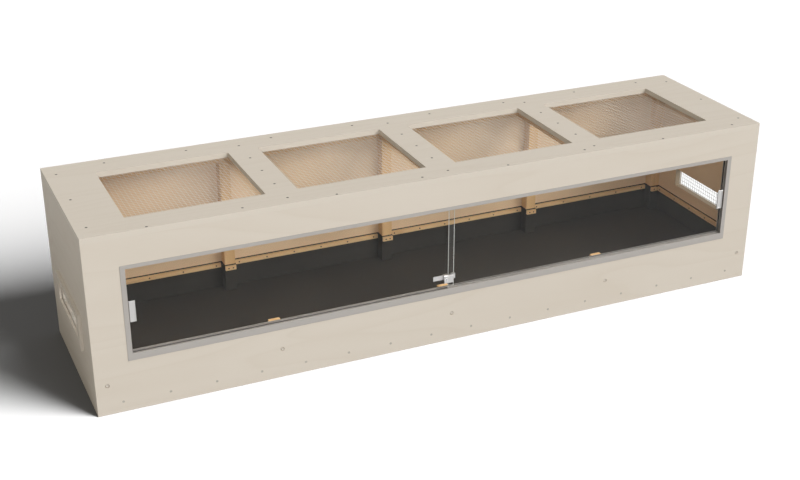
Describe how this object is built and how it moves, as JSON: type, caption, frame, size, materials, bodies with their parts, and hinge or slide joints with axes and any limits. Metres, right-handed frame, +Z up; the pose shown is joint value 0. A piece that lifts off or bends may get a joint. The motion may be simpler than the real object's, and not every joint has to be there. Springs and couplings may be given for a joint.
{
  "type": "reptile enclosure",
  "caption": "Long low plywood box on a timber frame, with mesh roof openings, mesh end vents, a black liner tub and a front window of sliding glass panes with a ratchet lock.",
  "frame": {"origin": "middle of the footprint, on the ground under the middle floor bearer", "axes": "+X to the right along the length when facing the window, +Y from the window to the back, +Z up"},
  "size_m": [2.42, 0.6015, 0.6],
  "materials": {
    "plywood": "pale sanded birch plywood, matt",
    "timber": "planed softwood, unfinished",
    "batten": "planed pine strip, clear finish",
    "liner": "black sheet, matt",
    "mesh": "galvanised welded wire",
    "profile": "satin anodised",
    "pane": "clear float glass, polished edges",
    "fitting": "satin, bevelled edges",
    "cylinder": "bright plated",
    "screw": "zinc plated, dull",
    "bolt": "zinc plated, dull"
  },
  "bodies": {
    "enclosure": {"top_panel": "plywood", "front_panel": "plywood", "back_panel": "plywood", "left_end_panel": "plywood", "right_end_panel": "plywood", "floor_panel": "plywood", "vent_cover_left": "plywood", "vent_cover_right": "plywood", "base_rail_front": "timber", "base_rail_back": "timber", "base_cross_rails": "timber", "roof_rail_front": "timber", "roof_rail_back": "timber", "roof_rail_left": "timber", "roof_rail_right": "timber", "roof_joist_1": "timber", "roof_joist_2": "timber", "roof_joist_3": "timber", "back_post_1": "timber", "back_post_2": "timber", "back_post_3": "timber", "front_post_1": "timber", "front_post_2": "timber", "front_post_3": "timber", "corner_post_front_left": "timber", "corner_post_front_right": "timber", "corner_post_back_left": "timber", "corner_post_back_right": "timber", "substrate_liner": "liner", "batten_back_1": "batten", "batten_back_2": "batten", "batten_back_3": "batten", "batten_back_4": "batten", "batten_left": "batten", "batten_right": "batten", "battens_front": "batten", "post_clamp_blocks": "batten", "roof_mesh_1": "mesh", "roof_mesh_2": "mesh", "roof_mesh_3": "mesh", "roof_mesh_4": "mesh", "vent_mesh_left": "mesh", "vent_mesh_right": "mesh", "mesh_staples": "mesh", "track_bottom": "profile", "track_top": "profile", "jamb_left": "profile", "jamb_right": "profile", "roof_screws": "screw", "wall_screws": "screw", "batten_screws": "screw", "cover_screws": "screw", "post_bolts": "bolt"},
    "left_door": {"left_glass": "pane", "left_grip": "fitting", "lock_bar": "fitting"},
    "right_door": {"right_glass": "pane", "right_grip": "fitting", "lock_body": "fitting"},
    "lock_cylinder": {"lock_cylinder": "cylinder"}
  },
  "joints": [
    {"name": "left_door_slide", "type": "slide", "parent": "enclosure", "child": "left_door", "axis": [1, 0, 0], "range_m": [0, 1]},
    {"name": "right_door_slide", "type": "slide", "parent": "enclosure", "child": "right_door", "axis": [-1, 0, 0], "range_m": [0, 1]},
    {"name": "lock_cylinder_turn", "type": "hinge", "parent": "right_door", "child": "lock_cylinder", "pos_m": [-0.0209, -0.3, 0.2295], "axis": [0, 1, 0], "range_deg": [0, 90]}
  ]
}
